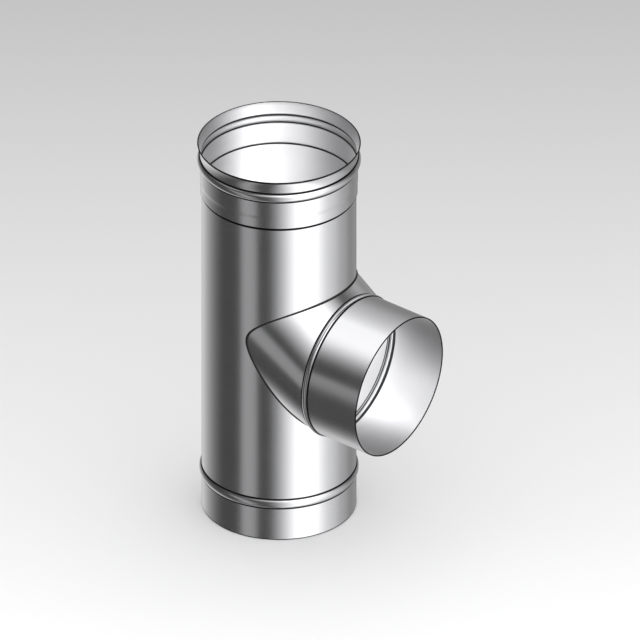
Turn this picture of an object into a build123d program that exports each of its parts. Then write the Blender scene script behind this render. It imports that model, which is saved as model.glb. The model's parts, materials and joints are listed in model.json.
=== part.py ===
from build123d import *
from math import atan2, cos, degrees, hypot, radians, sin
import os

# Stove pipe tee of rolled stainless sheet. The frame stands at the centre of the
# pipe's lower edge, with +Z up the pipe and +X along the branch.

# Driving dimensions, in millimetres and degrees
sheet = 1.0                # wall of every piece
bead_root = 0.8            # outer radius where a bead leaves the wall
pipe_diameter = 125.0      # outside of the upright pipe
pipe_length = 298.0        # lower edge to the edge inside the collar
spigot_length = 29.0       # plain end below the stop bead
stop_bead_width = 9.1
stop_bead_rise = 1.8
collar_overlap = 7.6       # how far the collar reaches down over the pipe
collar_slip = 0.3          # radial room for the next pipe in the socket
collar_step = 5.0          # height over which the collar widens by its slip
socket_wall = 17.4         # pipe's edge to the socket bead
socket_bead_width = 8.8
socket_bead_rise = 2.3
lip_height = 10.5          # socket bead to the rim
lip_rise = 2.3             # how far the lip flares out
branch_height = 154.0      # where the branch's axis meets the pipe's axis
branch_fall = 3.0          # slope of the branch, down and outwards
branch_narrowing = 5.0     # how much smaller the branch is across than the pipe
branch_land = 0.6          # foot of the saddle to the branch bead
branch_bead_width = 5.6
branch_bead_rise = 1.2
branch_spigot = 48.1       # plain end beyond the branch bead
neck_rise = 35.0           # how far the neck's middle climbs between its bead and the pipe's axis
neck_stretch = 14.0        # how much its half height grows on the way
neck_margin = 1.0          # how far its flanks stay inside the pipe's flanks

# Sizes that follow
pipe_radius = pipe_diameter / 2
grip_radius = pipe_radius + sheet
collar_foot = pipe_length - collar_overlap
socket_bead_foot = pipe_length + socket_wall
branch_radius = (pipe_diameter - branch_narrowing) / 2
fall = radians(branch_fall)
saddle_foot = (pipe_radius + branch_radius * sin(fall)) / cos(fall)
branch_bead_foot = saddle_foot + branch_land
branch_length = branch_bead_foot + branch_bead_width + branch_spigot

branch_centre = Vector(0, 0, branch_height)
branch_way = Vector(cos(fall), 0, -sin(fall))
branch_up = Vector(sin(fall), 0, cos(fall))
neck_outer_end = Plane(branch_centre + branch_way * branch_bead_foot, x_dir=branch_up, z_dir=branch_way)
neck_inner_end = Plane(branch_centre + branch_up * neck_rise, x_dir=branch_up, z_dir=branch_way)


def bead(start, width, rise):
    """Three tangent arcs that swell out of a straight wall and return to it."""
    half = width / 2
    turn = 2 * atan2(rise, half)
    crown = half / sin(turn) - bead_root
    lower = JernArc(start, (0, 1), bead_root, -degrees(turn))
    middle = JernArc(lower @ 1, lower % 1, crown, 2 * degrees(turn))
    return JernArc(middle @ 1, middle % 1, bead_root, -degrees(turn))


def widen(start, height, rise):
    """Two equal tangent arcs that carry a wall outwards by a small step."""
    turn = 2 * atan2(rise, height)
    radius = hypot(height, rise) / (4 * sin(turn / 2))
    first = JernArc(start, (0, 1), radius, -degrees(turn))
    return JernArc(first @ 1, first % 1, radius, degrees(turn))


def flare(start, height, rise):
    """One tangent arc that opens a wall into a lip."""
    turn = 2 * atan2(rise, height)
    return JernArc(start, (0, 1), height / sin(turn), -degrees(turn))


def neck(inset):
    """The boot neck as a filled form: a circle at the bead that runs in to an ellipse at the pipe's axis."""
    with BuildPart() as form:
        with BuildSketch(neck_outer_end):
            Circle(branch_radius - inset)
        with BuildSketch(neck_inner_end):
            Ellipse(branch_radius + neck_stretch - inset, pipe_radius - neck_margin - inset)
        loft()
    return form.part


neck_outside = neck(0)
neck_inside = neck(sheet)

# Upright pipe, with its stop bead and the opening for the branch
with BuildPart() as main_pipe:
    with BuildSketch(Plane.XZ):
        with BuildLine():
            spigot = Line((pipe_radius, 0), (pipe_radius, spigot_length))
            stop = bead(spigot @ 1, stop_bead_width, stop_bead_rise)
            Line(stop @ 1, (pipe_radius, pipe_length))
            offset(amount=sheet, side=Side.LEFT)
        make_face()
    revolve(axis=Axis.Z)
    add(neck_inside, mode=Mode.SUBTRACT)
main_pipe.part.label = "main_pipe"

# Socket collar: a ring gripping the pipe's upper end, with a bead and a flared lip
with BuildPart() as socket_collar:
    with BuildSketch(Plane.XZ):
        with BuildLine():
            grip = Line((grip_radius, collar_foot), (grip_radius, pipe_length))
            step = widen(grip @ 1, collar_step, collar_slip)
            wall = Line(step @ 1, (grip_radius + collar_slip, socket_bead_foot))
            socket_bead = bead(wall @ 1, socket_bead_width, socket_bead_rise)
            flare(socket_bead @ 1, lip_height, lip_rise)
            offset(amount=sheet, side=Side.LEFT)
        make_face()
    revolve(axis=Axis.Z)
socket_collar.part.label = "socket_collar"

# Branch stub: a round spigot and its bead on a boot neck, whose saddle seats on the pipe's outer wall
with BuildPart() as branch_stub:
    with BuildSketch(Plane(branch_centre, x_dir=branch_up, z_dir=(0, 1, 0))):
        with BuildLine():
            branch_bead = bead((branch_radius, branch_bead_foot), branch_bead_width, branch_bead_rise)
            Line(branch_bead @ 1, (branch_radius, branch_length))
            offset(amount=sheet, side=Side.LEFT)
        make_face()
    revolve(axis=Axis(branch_centre, branch_way))
    add(neck_outside)
    add(neck_inside, mode=Mode.SUBTRACT)
    with BuildSketch(Plane.XY):
        Circle(pipe_radius)
    extrude(amount=pipe_length, mode=Mode.SUBTRACT)
branch_stub.part.label = "branch_stub"

os.makedirs("parts", exist_ok=True)
export_step(main_pipe.part, "parts/main_pipe.step")
export_step(socket_collar.part, "parts/socket_collar.step")
export_step(branch_stub.part, "parts/branch_stub.step")
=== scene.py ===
import bmesh
import bpy
import json
from math import atan2, cos, hypot, pi, radians, sin, sqrt, tau
from mathutils import Matrix, Vector


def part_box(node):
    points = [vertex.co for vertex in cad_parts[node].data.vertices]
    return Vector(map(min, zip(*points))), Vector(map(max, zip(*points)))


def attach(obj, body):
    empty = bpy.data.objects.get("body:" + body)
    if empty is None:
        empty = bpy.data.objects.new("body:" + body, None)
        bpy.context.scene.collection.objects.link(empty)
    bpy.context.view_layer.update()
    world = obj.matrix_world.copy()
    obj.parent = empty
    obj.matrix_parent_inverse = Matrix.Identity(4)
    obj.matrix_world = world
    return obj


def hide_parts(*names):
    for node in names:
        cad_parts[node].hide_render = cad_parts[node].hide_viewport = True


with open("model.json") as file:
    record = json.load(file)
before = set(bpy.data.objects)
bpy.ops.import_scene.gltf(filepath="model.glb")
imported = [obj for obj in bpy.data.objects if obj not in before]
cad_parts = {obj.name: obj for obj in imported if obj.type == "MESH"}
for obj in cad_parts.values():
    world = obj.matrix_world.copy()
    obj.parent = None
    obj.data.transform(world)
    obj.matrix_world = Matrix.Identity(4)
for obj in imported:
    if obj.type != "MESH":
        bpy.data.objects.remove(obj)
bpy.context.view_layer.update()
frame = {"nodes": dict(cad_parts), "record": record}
scene = bpy.context.scene
mounts = {m["name"]: m for m in frame["record"]["mounts"]}
print("frame loaded:", sorted(frame["nodes"]))


# Camera: parallel view, turned 36 degrees round the pipe and 30.3 degrees above the floor
view = {
    "azimuth": radians(36),
    "elevation": radians(30.3),
    "imageSide": 640,          # pixels
    "pixelSize": 0.00080645,   # metres that one pixel spans
    "pipeAxisX": 279.0,        # pixel column of the pipe's axis
    "pipeFootY": 500.8,        # pixel row of the centre of its lower edge
    "distance": 3.0,
    "clipEnd": 20,
}


def makeCamera():
    turn, rise = view["azimuth"], view["elevation"]
    right = Vector((cos(turn), sin(turn), 0))
    back = Vector((sin(turn) * cos(rise), -cos(turn) * cos(rise), sin(rise)))
    up = back.cross(right)
    middle = view["imageSide"] / 2
    target = (right * (middle - view["pipeAxisX"]) + up * (view["pipeFootY"] - middle)) * view["pixelSize"]
    data = bpy.data.cameras.new("camera")
    data.type = "ORTHO"
    data.ortho_scale = view["imageSide"] * view["pixelSize"]
    data.clip_end = view["clipEnd"]
    camera = bpy.data.objects.new("camera", data)
    scene.collection.objects.link(camera)
    camera.location = target + back * view["distance"]
    camera.rotation_euler = back.to_track_quat("Z", "Y").to_euler()
    scene.camera = camera


makeCamera()
print("camera placed")


# Shader tools
def linkNodes(tree, pairs):
    for source, target in pairs:
        tree.links.new(source, target)


def newGroup(name, inputs, outputs):
    group = bpy.data.node_groups.new(name, "ShaderNodeTree")
    for label, kind in inputs:
        group.interface.new_socket(name=label, in_out="INPUT", socket_type="NodeSocket" + kind)
    for label, kind in outputs:
        group.interface.new_socket(name=label, in_out="OUTPUT", socket_type="NodeSocket" + kind)
    return group, group.nodes.new("NodeGroupInput"), group.nodes.new("NodeGroupOutput")


def maths(tree, operation, *values):
    node = tree.nodes.new("ShaderNodeMath")
    node.operation = operation
    for socket, value in zip(node.inputs, values):
        if isinstance(value, (int, float)):
            socket.default_value = value
        else:
            tree.links.new(value, socket)
    return node.outputs[0]


def mixColours(tree, factor, first, second):
    node = tree.nodes.new("ShaderNodeMix")
    node.data_type = "RGBA"
    linkNodes(tree, [(factor, node.inputs["Factor"]), (first, node.inputs["A"]), (second, node.inputs["B"])])
    return node.outputs["Result"]


def noise(tree, position, scale, detail):  # from about -0.5 to 0.5
    node = tree.nodes.new("ShaderNodeTexNoise")
    node.inputs["Scale"].default_value = scale
    node.inputs["Detail"].default_value = detail
    tree.links.new(position, node.inputs["Vector"])
    return maths(tree, "SUBTRACT", node.outputs["Fac"], 0.5)


# Finish of rolled sheet
rolling = {"streakDetail": 3.0, "mottleScale": 34.0, "mottleDetail": 2.0}
finishSockets = {
    "metal": ("Metal", "Color"), "paintedShade": ("Painted Shade", "Color"),
    "streakLength": ("Streak Length", "Float"), "streakWidth": ("Streak Width", "Float"),
    "toneSpread": ("Tone Spread", "Float"), "roughness": ("Roughness", "Float"),
    "roughnessSpread": ("Roughness Spread", "Float"), "shadeLineRoughness": ("Shade Line Roughness", "Float"),
}


def rolledFinishGroup():  # streaks round a tube, soft mottling, and painted shade: dark lines in its creases and beside its edges
    group, given, result = newGroup(
        "rolled_finish", [("Position", "Vector"), ("Shade Line", "Float"), *finishSockets.values()],
        [("Color", "Color"), ("Roughness", "Float"), ("Height", "Float")])
    parts = group.nodes.new("ShaderNodeSeparateXYZ")
    group.links.new(given.outputs["Position"], parts.inputs[0])
    across, along, height = parts.outputs
    angle = maths(group, "ARCTAN2", along, across)
    radius = maths(group, "SQRT", maths(group, "ADD", maths(group, "MULTIPLY", across, across),
                                        maths(group, "MULTIPLY", along, along)))
    unrolled = group.nodes.new("ShaderNodeCombineXYZ")
    for axis, distance, label in (("X", maths(group, "MULTIPLY", angle, radius), "Streak Length"),
                                  ("Y", radius, "Streak Length"), ("Z", height, "Streak Width")):
        group.links.new(maths(group, "DIVIDE", distance, given.outputs[label]), unrolled.inputs[axis])
    streaks = noise(group, unrolled.outputs[0], 1.0, rolling["streakDetail"])
    mottle = noise(group, given.outputs["Position"], rolling["mottleScale"], rolling["mottleDetail"])
    uneven = maths(group, "ADD", streaks, mottle)
    tone = maths(group, "ADD", 1.0, maths(group, "MULTIPLY", uneven, given.outputs["Tone Spread"]))
    metal = group.nodes.new("ShaderNodeVectorMath")
    metal.operation = "SCALE"
    linkNodes(group, [(given.outputs["Metal"], metal.inputs[0]), (tone, metal.inputs["Scale"])])
    # painted shade: where the line mask is set, the metal turns to the near-black shade colour
    colour = mixColours(group, given.outputs["Shade Line"], metal.outputs[0], given.outputs["Painted Shade"])
    rough = maths(group, "ADD", given.outputs["Roughness"],
                  maths(group, "MULTIPLY", uneven, given.outputs["Roughness Spread"]))
    dulled = maths(group, "MULTIPLY", given.outputs["Shade Line"],
                   maths(group, "SUBTRACT", given.outputs["Shade Line Roughness"], rough))
    linkNodes(group, [(colour, result.inputs["Color"]),
                      (maths(group, "ADD", rough, dulled), result.inputs["Roughness"]),
                      (streaks, result.inputs["Height"])])
    return group


rolledFinish = rolledFinishGroup()
# in each finish the near-black second colour is painted shade, laid in creases, beside edges and under the
# collar's foot
finishes = {
    "outside": {"metalShare": 1.0, "metal": (0.74, 0.74, 0.755, 1), "paintedShade": (0.012, 0.012, 0.013, 1),
                "streakLength": 0.05, "streakWidth": 0.0007, "toneSpread": 0.05, "roughness": 0.2,
                "roughnessSpread": 0.05, "shadeLineRoughness": 0.4, "grain": 0.000002},
    # painted shade: the inside is the same steel, given a darker metal colour and a dull share so the inside
    # of a tube reads darker
    "inside": {"metalShare": 0.85, "metal": (0.18, 0.18, 0.184, 1), "paintedShade": (0.003, 0.003, 0.0032, 1),
               "streakLength": 0.04, "streakWidth": 0.0009, "toneSpread": 0.06, "roughness": 0.49,
               "roughnessSpread": 0.06, "shadeLineRoughness": 0.6, "grain": 0.000004},
    "edge": {"metalShare": 1.0, "metal": (0.02, 0.02, 0.021, 1), "paintedShade": (0.012, 0.012, 0.013, 1),
             "streakLength": 0.0009, "streakWidth": 0.0003, "toneSpread": 0.5, "roughness": 0.45,
             "roughnessSpread": 0.2, "shadeLineRoughness": 0.5, "grain": 0.00001},
    "weld": {"metalShare": 1.0, "metal": (0.04, 0.039, 0.038, 1), "paintedShade": (0.02, 0.02, 0.021, 1),
             "streakLength": 0.002, "streakWidth": 0.0012, "toneSpread": 0.6, "roughness": 0.38,
             "roughnessSpread": 0.2, "shadeLineRoughness": 0.5, "grain": 0.00003},
    "seam": {"metalShare": 1.0, "metal": (0.4, 0.395, 0.385, 1), "paintedShade": (0.02, 0.02, 0.021, 1),
             "streakLength": 0.003, "streakWidth": 0.0011, "toneSpread": 0.7, "roughness": 0.34,
             "roughnessSpread": 0.2, "shadeLineRoughness": 0.5, "grain": 0.00004},
}


def finishMaterial(name, finish, place):  # place is the frame of the tube: its Z runs along the tube
    material = bpy.data.materials.new(name)
    material.use_nodes = True
    tree = material.node_tree
    shader = tree.nodes["Principled BSDF"]
    shader.inputs["Metallic"].default_value = finish["metalShare"]   # the rest shades as dull diffuse; on the inside, with its darker metal colour, it is painted shade
    where = tree.nodes.new("ShaderNodeTexCoord")
    turned = tree.nodes.new("ShaderNodeMapping")
    turned.vector_type = "TEXTURE"
    turned.inputs["Location"].default_value = place.to_translation()
    turned.inputs["Rotation"].default_value = place.to_euler()
    # painted shade mask, set on the vertices in creases, beside edges and under the collar's foot
    shadeLine = tree.nodes.new("ShaderNodeAttribute")
    shadeLine.attribute_name = "shadeLine"
    look = tree.nodes.new("ShaderNodeGroup")
    look.node_tree = rolledFinish
    for key, (label, kind) in finishSockets.items():
        look.inputs[label].default_value = finish[key]
    bump = tree.nodes.new("ShaderNodeBump")
    bump.inputs["Distance"].default_value = finish["grain"]
    linkNodes(tree, [(where.outputs["Object"], turned.inputs["Vector"]),
                     (turned.outputs["Vector"], look.inputs["Position"]),
                     (shadeLine.outputs["Fac"], look.inputs["Shade Line"]),
                     (look.outputs["Color"], shader.inputs["Base Color"]),
                     (look.outputs["Roughness"], shader.inputs["Roughness"]),
                     (look.outputs["Height"], bump.inputs["Height"]),
                     (bump.outputs["Normal"], shader.inputs["Normal"])])
    return material


def seamFrame(tube):  # the streaks start and end at the tube's seam
    return tube["place"] @ Matrix.Rotation(tube["seam"] - pi, 4, "Z")


edgeMetal = finishMaterial("sheared_edge", finishes["edge"], Matrix.Identity(4))
weldMetal = finishMaterial("weld_metal", finishes["weld"], Matrix.Identity(4))
seamMetal = finishMaterial("seam_metal", finishes["seam"], Matrix.Identity(4))
outsideSlot, insideSlot, edgeSlot = 0, 1, 2   # order of a tube's materials


def tubeMaterials(name, tube):
    return [finishMaterial(name + "_outside", finishes["outside"], seamFrame(tube)),
            finishMaterial(name + "_inside", finishes["inside"], seamFrame(tube)),
            edgeMetal]


print("finishes mixed:", ", ".join(finishes))


# Rolled sheet
sheet = {
    "wall": 0.001,
    "deburr": 0.00022,         # how much is taken off the sheared edges
    "line": 0.0004,            # painted shade: dark stretch of wall beside a crease or an edge
    "fade": 0.0002,            # and the stretch in which it ends
    "segments": 288,           # steps round a tube
    "merge": 1e-7,             # points closer than this become one
    "rimAngle": radians(60),   # a sheared edge bends more than this
    "softAngle": radians(32),  # a bend under this is shaded smooth
    "edgeFacing": 0.62,        # faces that look less than this in or out belong to a sheared edge
}

# Outlines: each point is a radius, a height, the wall's lean from upright, and how much painted shade it has
# on its outside and on its inside, as dark lines in creases, beside edges and under the collar's foot
noShade, dark, darkOutside, darkInside = (0, 0), (1, 1), (1, 0), (0, 1)
beadShadeLines = {                # a step of the arc for each of them
    "rise": [darkOutside, (1, 0.5), dark, dark],
    "crown": [(0.8, 0.8)] + [noShade] * 16 + [(0.8, 0), (1, 0.2), dark],
    "fall": [dark] * 4,
}


def startOutline(radius, height, shadeLine):
    return [(radius, height, 0.0, shadeLine)]


def addStraight(outline, length, shadeLine=noShade):
    radius, height, lean = outline[-1][:3]
    outline.append((radius + length * sin(lean), height + length * cos(lean), lean, shadeLine))


def addWall(outline, length, first=noShade, last=noShade):  # its short ends also keep a bend's shading local
    addStraight(outline, sheet["fade"], first)
    addStraight(outline, sheet["line"], first)
    addStraight(outline, sheet["fade"])
    addStraight(outline, length - 2 * sheet["line"] - 4 * sheet["fade"])
    addStraight(outline, sheet["fade"], last)
    addStraight(outline, sheet["line"], last)
    addStraight(outline, sheet["fade"], last)


def addArc(outline, radius, turn, shadeLines):  # a positive turn leans outwards, with a step for each value of painted shade
    side = 1 if turn > 0 else -1
    startRadius, startHeight, startLean = outline[-1][:3]
    centreRadius = startRadius + side * radius * cos(startLean)
    centreHeight = startHeight - side * radius * sin(startLean)
    for step, shadeLine in enumerate(shadeLines, 1):
        lean = startLean + turn * step / len(shadeLines)
        outline.append((centreRadius - side * radius * cos(lean),
                        centreHeight + side * radius * sin(lean), lean, shadeLine))


def addBead(outline, bead):
    turn = 2 * atan2(bead["rise"], bead["width"] / 2)
    crown = bead["width"] / 2 / sin(turn) - bead["root"]
    addArc(outline, bead["root"], turn, beadShadeLines["rise"])
    addArc(outline, crown, -2 * turn, beadShadeLines["crown"])
    addArc(outline, bead["root"], turn, beadShadeLines["fall"])


def spunSheet(outline):  # closed wall round Z: the outline outside, and one sheet thickness inside it
    bm = bmesh.new()
    shade = bm.verts.layers.float.new("shadeLine")
    outer = [bm.verts.new((radius, 0, height)) for radius, height, lean, shadeLine in outline]
    inner = [bm.verts.new((radius - sheet["wall"] * cos(lean), 0, height + sheet["wall"] * sin(lean)))
             for radius, height, lean, shadeLine in outline]
    for side, verts in enumerate((outer, inner)):
        for vert, point in zip(verts, outline):
            vert[shade] = point[3][side]
    ring = outer + inner[::-1]
    edges = [bm.edges.new((a, b)) for a, b in zip(ring, ring[1:] + ring[:1])]
    bmesh.ops.spin(bm, geom=ring + edges, cent=(0, 0, 0), axis=(0, 0, 1), dvec=(0, 0, 0), angle=tau,
                   steps=sheet["segments"], use_merge=True, use_duplicate=False)
    bmesh.ops.remove_doubles(bm, verts=bm.verts, dist=sheet["merge"])
    bmesh.ops.recalc_face_normals(bm, faces=bm.faces)
    return bm


def roundRims(bm, lowest=-1.0):  # takes the burr off the sheared edges above a height
    rims = [e for e in bm.edges
            if e.calc_face_angle(0) > sheet["rimAngle"] and min(v.co.z for v in e.verts) > lowest]
    bmesh.ops.bevel(bm, geom=rims, offset=sheet["deburr"], offset_type="OFFSET", segments=2, profile=0.5,
                    affect="EDGES", clamp_overlap=True, material=-1)


def sortFaces(bm):  # gives out the material slots, while the tube still stands round Z
    for face in bm.faces:
        centre = face.calc_center_median()
        facing = face.normal.dot(Vector((centre.x, centre.y, 0)).normalized())
        if abs(facing) < sheet["edgeFacing"]:
            face.material_index = edgeSlot
        else:
            face.material_index = insideSlot if facing < 0 else outsideSlot


def shadeFaces(bm):
    for face in bm.faces:
        face.smooth = True
    for edge in bm.edges:
        edge.smooth = edge.calc_face_angle(0) < sheet["softAngle"]


def finishPiece(bm, name, materials, nodes=()):
    shadeFaces(bm)
    mesh = bpy.data.meshes.new(name)
    bm.to_mesh(mesh)
    bm.free()
    for material in materials:
        mesh.materials.append(material)
    piece = bpy.data.objects.new(name, mesh)
    scene.collection.objects.link(piece)
    piece.visible_glossy = False   # the metal mirrors only the studio
    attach(piece, "root")
    if nodes:
        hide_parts(*nodes)
    return piece


# Upright pipe
pipe = {
    "radius": mounts["lower_spigot"]["dims"]["r_mm"] / 1000,
    "spigot": mounts["lower_spigot"]["dims"]["length_mm"] / 1000,
    "top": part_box("main_pipe")[1].z,
    "bead": {"width": 0.0091, "rise": 0.0018, "root": 0.0008},
    "underCollar": 0.0012,     # painted shadow: dark stretch of wall under the collar's foot
    "seam": radians(180),      # where the lengthways seam lies, round the pipe from +X
    "place": Matrix.Identity(4),
}


def pipeOutline():
    outline = startOutline(pipe["radius"], 0, dark)
    addWall(outline, pipe["spigot"], dark, darkOutside)
    addBead(outline, pipe["bead"])
    addWall(outline, collar["foot"] - pipe["underCollar"] - outline[-1][1], darkInside, darkOutside)
    addStraight(outline, pipe["underCollar"], darkOutside)
    addWall(outline, pipe["top"] - outline[-1][1], noShade, dark)
    return outline


def cutBranchOpening(piece):  # with a solid that has the shape of the neck's inside
    bm = bmesh.new()
    bore = branch["radius"] - sheet["wall"]
    bmesh.ops.create_cone(bm, cap_ends=True, segments=sheet["segments"], radius1=bore, radius2=bore,
                          depth=branch["beadFoot"])
    bmesh.ops.translate(bm, vec=(0, 0, branch["beadFoot"] / 2), verts=bm.verts)
    foot = [v for v in bm.verts if v.co.z < neck["footBand"]]
    bmesh.ops.transform(bm, matrix=branch["place"], verts=bm.verts)
    for vert in foot:
        start, inwards = neckLine(vert.co)
        vert.co = start + inwards
    for face in bm.faces:
        face.material_index = edgeSlot
    mesh = bpy.data.meshes.new("branch_cutter")
    bm.to_mesh(mesh)
    bm.free()
    for material in piece.data.materials:
        mesh.materials.append(material)
    cutter = bpy.data.objects.new("branch_cutter", mesh)
    scene.collection.objects.link(cutter)
    cut = piece.modifiers.new("branch_opening", "BOOLEAN")
    cut.operation = "DIFFERENCE"
    cut.solver = "EXACT"
    cut.object = cutter
    whole = bpy.data.meshes.new_from_object(piece.evaluated_get(bpy.context.evaluated_depsgraph_get()))
    piece.modifiers.clear()
    bm = bmesh.new()
    bm.from_mesh(whole)
    shadeFaces(bm)
    bm.to_mesh(whole)
    bm.free()
    piece.data = whole
    bpy.data.objects.remove(cutter)


def makePipe():
    bm = spunSheet(pipeOutline())
    roundRims(bm)
    sortFaces(bm)
    piece = finishPiece(bm, "pipe_sheet", tubeMaterials("pipe", pipe), ["main_pipe"])
    cutBranchOpening(piece)
    return piece


# Socket collar
collar = {
    "foot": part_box("socket_collar")[0].z,
    "slip": mounts["top_socket"]["dims"]["r_mm"] / 1000 - pipe["radius"],
    "step": 0.005,             # height in which the wall widens by the slip
    "wallTop": mounts["top_socket"]["pos_m"][2] + mounts["top_socket"]["dims"]["length_mm"] / 2000,
    "bead": {"width": 0.0088, "rise": 0.0023, "root": 0.0008},
    "lip": {"height": 0.0105, "rise": 0.0023},
    "seam": radians(156),
    "place": Matrix.Identity(4),
}
stepShadeLines = [noShade] * 4
lipShadeLines = [darkInside] * 2 + [noShade] * 25 + [darkOutside] * 2 + [dark] * 2


def collarOutline():
    outline = startOutline(pipe["radius"] + sheet["wall"], collar["foot"], dark)
    addWall(outline, pipe["top"] - collar["foot"], dark, darkInside)
    stepTurn = 2 * atan2(collar["slip"], collar["step"])
    stepRadius = hypot(collar["slip"], collar["step"]) / (4 * sin(stepTurn / 2))
    addArc(outline, stepRadius, stepTurn, stepShadeLines)
    addArc(outline, stepRadius, -stepTurn, stepShadeLines)
    addWall(outline, collar["wallTop"] - outline[-1][1], noShade, darkOutside)
    addBead(outline, collar["bead"])
    lipTurn = 2 * atan2(collar["lip"]["rise"], collar["lip"]["height"])
    addArc(outline, collar["lip"]["height"] / sin(lipTurn), lipTurn, lipShadeLines)
    return outline


def makeCollar():
    bm = spunSheet(collarOutline())
    roundRims(bm)
    sortFaces(bm)
    return finishPiece(bm, "collar_sheet", tubeMaterials("collar", collar), ["socket_collar"])


# Branch, and the boot neck that leads it in to the pipe
branch = {
    "radius": mounts["branch_spigot"]["dims"]["r_mm"] / 1000,
    "spigot": mounts["branch_spigot"]["dims"]["length_mm"] / 1000,
    "mouth": Vector(mounts["branch_spigot"]["pos_m"]),
    "way": Vector(mounts["branch_spigot"]["axis"]).normalized(),
    "bead": {"width": 0.0056, "rise": 0.0012, "root": 0.0008},
    "seam": radians(-90),      # along the underside
}
branch["length"] = branch["mouth"].x / branch["way"].x
branch["centre"] = branch["mouth"] - branch["way"] * branch["length"]
branch["up"] = Vector((-branch["way"].z, 0, branch["way"].x))
branch["beadFoot"] = branch["length"] - branch["spigot"] - branch["bead"]["width"]
branch["turn"] = branch["way"].to_track_quat("Z", "Y").to_matrix().to_4x4()
branch["place"] = Matrix.Translation(branch["centre"]) @ branch["turn"]
neck = {                       # round at the bead, an ellipse at the pipe's axis
    "rise": 0.035,             # how far its middle climbs on the way in
    "stretch": 0.014,          # how much its half height grows
    "spread": pipe["radius"] - sheet["wall"] - branch["radius"],   # and its half width
    "footBand": 0.001,         # the wall this close to its foot keeps its distance from the pipe
}


def neckLine(point):  # start of the line through a point of the round tube, and its way to the pipe's axis
    along = (point - branch["centre"]).dot(branch["way"])
    start = point + branch["way"] * (branch["beadFoot"] - along)
    outwards = (point - branch["centre"] - branch["way"] * along).normalized()
    climb = neck["rise"] + neck["stretch"] * outwards.dot(branch["up"])
    spread = Vector((0, neck["spread"] * outwards.y, 0))
    return start, branch["up"] * climb + spread - branch["way"] * branch["beadFoot"]


def ontoPipe(point, distance=0.0):  # slides a point along its line, to a distance before the pipe's wall
    start, inwards = neckLine(point)
    flat, run = start.to_2d(), inwards.to_2d()
    meet = flat.dot(run) ** 2 - run.dot(run) * (flat.dot(flat) - pipe["radius"] ** 2)
    share = -(flat.dot(run) + sqrt(meet)) / run.dot(run)
    return start + inwards * (share - distance / inwards.length)


def bendNeck(bm):  # puts a tube that stands round Z in the branch's place, and fits its foot to the pipe
    neckVerts = [(v, v.co.z) for v in bm.verts if v.co.z < branch["beadFoot"] - sheet["merge"]]
    bmesh.ops.transform(bm, matrix=branch["place"], verts=bm.verts)
    for vert, height in neckVerts:
        if height < neck["footBand"]:
            vert.co = ontoPipe(vert.co, height)
        else:
            start, inwards = neckLine(vert.co)
            vert.co = start + inwards * (1 - height / branch["beadFoot"])


def branchOutline():
    outline = startOutline(branch["radius"], 0, dark)
    addWall(outline, branch["beadFoot"], dark, dark)
    addBead(outline, branch["bead"])
    addStraight(outline, sheet["line"], dark)
    addStraight(outline, sheet["line"], darkInside)   # a longer stretch of painted shade on the inside, where the mouth shows it
    addWall(outline, branch["length"] - outline[-1][1], darkInside, dark)
    return outline


def makeBranch():
    bm = spunSheet(branchOutline())
    roundRims(bm, lowest=pipe["radius"])   # the foot stays sharp, and the weld covers it
    sortFaces(bm)
    bendNeck(bm)
    return finishPiece(bm, "branch_sheet", tubeMaterials("branch", branch), ["branch_stub"])


# Welds: a rippled fillet round the saddle, and a low flat seam down each tube
saddleWeld = {"radius": 0.0012, "sides": 10, "ripples": 320, "stepsPerRipple": 4, "rippleDepth": 0.09}
seamWeld = {"halfWidth": 0.0011, "crown": 0.00022, "sunk": 0.00008, "steps": 6}


def makeSaddleWeld():
    bm = bmesh.new()
    bmesh.ops.create_circle(bm, cap_ends=False, segments=saddleWeld["sides"], radius=saddleWeld["radius"])
    bmesh.ops.rotate(bm, cent=(0, 0, 0), matrix=Matrix.Rotation(radians(90), 3, "X"), verts=bm.verts)
    bmesh.ops.translate(bm, vec=(branch["radius"], 0, 0), verts=bm.verts)
    steps = saddleWeld["ripples"] * saddleWeld["stepsPerRipple"]
    bmesh.ops.spin(bm, geom=bm.verts[:] + bm.edges[:], cent=(0, 0, 0), axis=(0, 0, 1), dvec=(0, 0, 0),
                   angle=tau, steps=steps, use_merge=True, use_duplicate=False)
    bmesh.ops.remove_doubles(bm, verts=bm.verts, dist=sheet["merge"])
    bmesh.ops.recalc_face_normals(bm, faces=bm.faces)
    for vert in bm.verts:
        angle = atan2(vert.co.y, vert.co.x)
        centre = Vector((cos(angle), sin(angle), 0)) * branch["radius"]
        swell = 1 + saddleWeld["rippleDepth"] * cos(saddleWeld["ripples"] * angle)
        placed = branch["place"] @ centre
        offset = branch["place"].to_3x3() @ (vert.co - centre)
        vert.co = ontoPipe(placed) + offset * swell
    return finishPiece(bm, "saddle_weld", [weldMetal])


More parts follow.
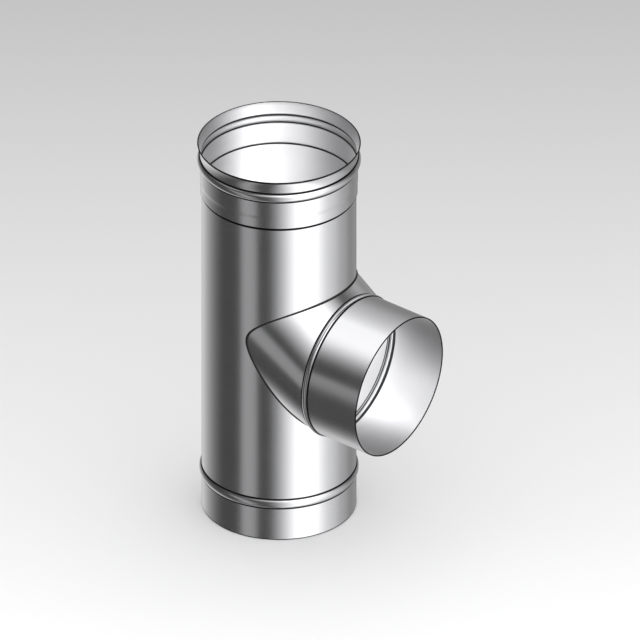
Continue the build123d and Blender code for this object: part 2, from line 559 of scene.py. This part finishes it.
def makeSeamWeld(name, outline, tube, bend=None):
    bm = bmesh.new()
    line = [bm.verts.new((radius, 0, height)) for radius, height, lean, shadeLine in outline]
    edges = [bm.edges.new(pair) for pair in zip(line, line[1:])]
    spread = seamWeld["halfWidth"] / outline[0][0]
    bmesh.ops.rotate(bm, cent=(0, 0, 0), matrix=Matrix.Rotation(-spread, 3, "Z"), verts=bm.verts)
    bmesh.ops.spin(bm, geom=line + edges, cent=(0, 0, 0), axis=(0, 0, 1), dvec=(0, 0, 0), angle=2 * spread,
                   steps=seamWeld["steps"], use_merge=False, use_duplicate=False)
    for vert in bm.verts:
        share = atan2(vert.co.y, vert.co.x) / spread
        rise = seamWeld["crown"] * (1 - share ** 2) - seamWeld["sunk"]
        vert.co += Vector((vert.co.x, vert.co.y, 0)).normalized() * rise
    bmesh.ops.recalc_face_normals(bm, faces=bm.faces)
    if bm.faces[0].normal.x < 0:
        bmesh.ops.reverse_faces(bm, faces=bm.faces)
    bmesh.ops.solidify(bm, geom=bm.faces[:], thickness=seamWeld["crown"])
    bmesh.ops.rotate(bm, cent=(0, 0, 0), matrix=Matrix.Rotation(tube["seam"], 3, "Z"), verts=bm.verts)
    if bend:
        bend(bm)
    return finishPiece(bm, name, [seamMetal])


# Building
pipeSheet = makePipe()
print("pipe rolled:", len(pipeSheet.data.polygons), "faces")
collarSheet = makeCollar()
print("collar rolled:", len(collarSheet.data.polygons), "faces")
branchSheet = makeBranch()
print("branch rolled:", len(branchSheet.data.polygons), "faces")
makeSaddleWeld()
makeSeamWeld("pipe_seam", pipeOutline(), pipe)
makeSeamWeld("collar_seam", collarOutline(), collar)
makeSeamWeld("branch_seam", branchOutline(), branch, bendNeck)
print("welds laid")


# Studio
studio = {
    "floorSide": 12.0,
    "floorDrop": 0.0002,       # how far the floor lies under the pipe's edge
    "floorRoughness": 0.9,
    "floorMiddle": -0.25,      # brightest line of the floor: place along the view, from the pipe's axis
    "floorNear": (0.03, 0.96),     # distance behind that line, and brightness of the floor there
    "floorFar": (1.05, 0.505),
    "floorHalfWidth": 0.27,    # it darkens sideways beyond this
    "outerFade": 3.0,          # how much faster it darkens sideways and in front than behind
    "plainLight": 1.1,
    "backdrop": 0.556,         # about as bright as the far floor shows
    "darkest": 0.074,          # light between the panels
}
panels = {                     # degrees: turn is counted from the camera's side, to the right
    "key": dict(turn=33.5, rise=1, wide=27, tall=88, soft=25.5, lean=0.01, power=1.16),
    "rightFill": dict(turn=62, rise=-10, wide=38, tall=85, soft=27.5, lean=-0.34, power=0.71),
    "overhead": dict(turn=-115, rise=59.5, wide=51, tall=20.5, soft=21, lean=0, power=1.3),
    "leftStrip": dict(turn=-52, rise=-14.5, wide=12.5, tall=20.5, soft=4, lean=-0.42, power=0.27),
    "leftLow": dict(turn=-62, rise=-61, wide=12, tall=26.5, soft=12, lean=0.51, power=0.34),
    "backLeft": dict(turn=-155, rise=-40, wide=21.5, tall=20.5, soft=46, lean=-0.1, power=1.2),
    "back": dict(turn=159.5, rise=53.5, wide=17, tall=27, soft=30, lean=0.38, power=1.19),
    "backLow": dict(turn=145.5, rise=-5, wide=24, tall=69.5, soft=9.5, lean=0.41, power=0.21),
    "neckTop": dict(turn=30, rise=39, wide=55.5, tall=11.5, soft=22, lean=0.89, power=1.17),
}
lampLines = {                  # lamps inside each tube, in rows: place aside of the middle, and power
    "pipe": dict(start=Vector((0, 0, 0.12)), end=Vector((0, 0, 0.335)), count=6,
                 rows=[(-0.024, 0.06), (0.0, 0.06), (0.025, 0.155)],
                 aside=Vector((cos(view["azimuth"]), sin(view["azimuth"]), 0))),
    "branch": dict(start=branch["centre"] + branch["way"] * 0.04, end=branch["mouth"] - branch["way"] * 0.01,
                   count=3, rows=[(0.009, 0.075), (-0.03, 0.03)],
                   aside=Vector((0, -0.6, 0)) - branch["up"] * 0.8),
}


def makeFloor():
    bm = bmesh.new()
    bmesh.ops.create_grid(bm, x_segments=1, y_segments=1, size=studio["floorSide"] / 2)
    mesh = bpy.data.meshes.new("floor")
    bm.to_mesh(mesh)
    bm.free()
    floor = bpy.data.objects.new("floor", mesh)
    scene.collection.objects.link(floor)
    floor.location.z = -studio["floorDrop"]
    floor.visible_glossy = False
    paint = bpy.data.materials.new("pale_floor")
    paint.use_nodes = True
    tree = paint.node_tree
    shader = tree.nodes["Principled BSDF"]
    shader.inputs["Roughness"].default_value = studio["floorRoughness"]
    shader.inputs["Specular IOR Level"].default_value = 0.0
    where = tree.nodes.new("ShaderNodeTexCoord")
    turned = tree.nodes.new("ShaderNodeMapping")
    turned.vector_type = "TEXTURE"
    turned.inputs["Rotation"].default_value = (0, 0, view["azimuth"])
    parts = tree.nodes.new("ShaderNodeSeparateXYZ")
    # painted light: the floor's colour is brightest along a line across the view and darkens behind it, in
    # front of it and to the sides, like a soft pool of light
    fade = tree.nodes.new("ShaderNodeMapRange")
    fade.inputs["From Min"].default_value, fade.inputs["To Min"].default_value = studio["floorNear"]
    fade.inputs["From Max"].default_value, fade.inputs["To Max"].default_value = studio["floorFar"]
    behind = maths(tree, "SUBTRACT", parts.outputs["Y"], studio["floorMiddle"])
    aside = maths(tree, "SUBTRACT", maths(tree, "ABSOLUTE", parts.outputs["X"]), studio["floorHalfWidth"])
    outside = maths(tree, "MAXIMUM", aside, maths(tree, "MULTIPLY", behind, -1))
    away = maths(tree, "MAXIMUM", behind, maths(tree, "MULTIPLY", outside, studio["outerFade"]))
    linkNodes(tree, [(where.outputs["Object"], turned.inputs["Vector"]),
                     (turned.outputs["Vector"], parts.inputs[0]), (away, fade.inputs["Value"]),
                     (fade.outputs["Result"], shader.inputs["Base Color"])])
    mesh.materials.append(paint)


def softPanelGroup():
    group, given, result = newGroup(
        "soft_panel",
        [("Direction", "Vector"), ("Turn", "Float"), ("Rise", "Float"), ("Half Width", "Float"),
         ("Half Height", "Float"), ("Softness", "Float"), ("Lean", "Float"), ("Power", "Float")],
        [("Light", "Float")])

    def edge(distance, half):  # 1 inside the panel, easing to 0 across its soft edge
        node = group.nodes.new("ShaderNodeMapRange")
        node.interpolation_type = "SMOOTHSTEP"
        soft = given.outputs["Softness"]
        linkNodes(group, [(distance, node.inputs["Value"]),
                          (maths(group, "ADD", half, soft), node.inputs["From Min"]),
                          (maths(group, "SUBTRACT", half, soft), node.inputs["From Max"])])
        return node.outputs["Result"]

    turned = group.nodes.new("ShaderNodeVectorRotate")
    turned.rotation_type = "Z_AXIS"
    parts = group.nodes.new("ShaderNodeSeparateXYZ")
    linkNodes(group, [(given.outputs["Direction"], turned.inputs["Vector"]),
                      (maths(group, "MULTIPLY", given.outputs["Turn"], -1), turned.inputs["Angle"]),
                      (turned.outputs[0], parts.inputs[0])])
    above = maths(group, "SUBTRACT", maths(group, "ARCSINE", parts.outputs["Z"]), given.outputs["Rise"])
    aside = maths(group, "SUBTRACT", maths(group, "ARCTAN2", parts.outputs["Y"], parts.outputs["X"]),
                  maths(group, "MULTIPLY", above, given.outputs["Lean"]))
    covered = maths(group, "MULTIPLY", edge(maths(group, "ABSOLUTE", aside), given.outputs["Half Width"]),
                    edge(maths(group, "ABSOLUTE", above), given.outputs["Half Height"]))
    group.links.new(maths(group, "MULTIPLY", covered, given.outputs["Power"]), result.inputs["Light"])
    return group


def makeWorld():  # the metal mirrors the soft panels, and all else stands in plain white light
    world = bpy.data.worlds.new("studio")
    scene.world = world
    world.use_nodes = True
    world.cycles.sampling_method = "NONE"
    tree = world.node_tree
    tree.nodes.clear()
    outlet = tree.nodes.new("ShaderNodeOutputWorld")
    where = tree.nodes.new("ShaderNodeTexCoord")
    group = softPanelGroup()
    panelLight = studio["darkest"]
    for name, panel in panels.items():
        node = tree.nodes.new("ShaderNodeGroup")
        node.node_tree = group
        node.label = name
        node.inputs["Turn"].default_value = view["azimuth"] - pi / 2 + radians(panel["turn"])
        for label, key in (("Rise", "rise"), ("Half Width", "wide"), ("Half Height", "tall"),
                           ("Softness", "soft")):
            node.inputs[label].default_value = radians(panel[key])
        node.inputs["Lean"].default_value = panel["lean"]
        node.inputs["Power"].default_value = panel["power"]
        tree.links.new(where.outputs["Generated"], node.inputs["Direction"])
        panelLight = maths(tree, "ADD", node.outputs["Light"], panelLight)

    def whiteLight(strength):
        node = tree.nodes.new("ShaderNodeBackground")
        node.inputs["Color"].default_value = (1, 1, 1, 1)
        if isinstance(strength, float):
            node.inputs["Strength"].default_value = strength
        else:
            tree.links.new(strength, node.inputs["Strength"])
        return node.outputs[0]

    def choose(test, usual, chosen):
        node = tree.nodes.new("ShaderNodeMixShader")
        linkNodes(tree, [(test, node.inputs[0]), (usual, node.inputs[1]), (chosen, node.inputs[2])])
        return node.outputs[0]

    ray = tree.nodes.new("ShaderNodeLightPath")
    light = choose(ray.outputs["Is Glossy Ray"], whiteLight(studio["plainLight"]), whiteLight(panelLight))
    seen = choose(ray.outputs["Is Camera Ray"], light, whiteLight(studio["backdrop"]))
    tree.links.new(seen, outlet.inputs["Surface"])


def makeLamps():
    for name, line in lampLines.items():
        for offset, power in line["rows"]:
            data = bpy.data.lights.new(name + "_lamp", "POINT")
            data.energy = power
            data.shadow_soft_size = 0
            for place in range(line["count"]):
                middle = line["start"].lerp(line["end"], place / (line["count"] - 1))
                lamp = bpy.data.objects.new(name + "_lamp", data)
                lamp.location = middle + line["aside"] * offset
                lamp.visible_diffuse = False   # it lights only the metal's sheen
                scene.collection.objects.link(lamp)


makeFloor()
makeWorld()
makeLamps()
scene.view_settings.view_transform = "Standard"
print("studio lit with", len(panels), "panels")
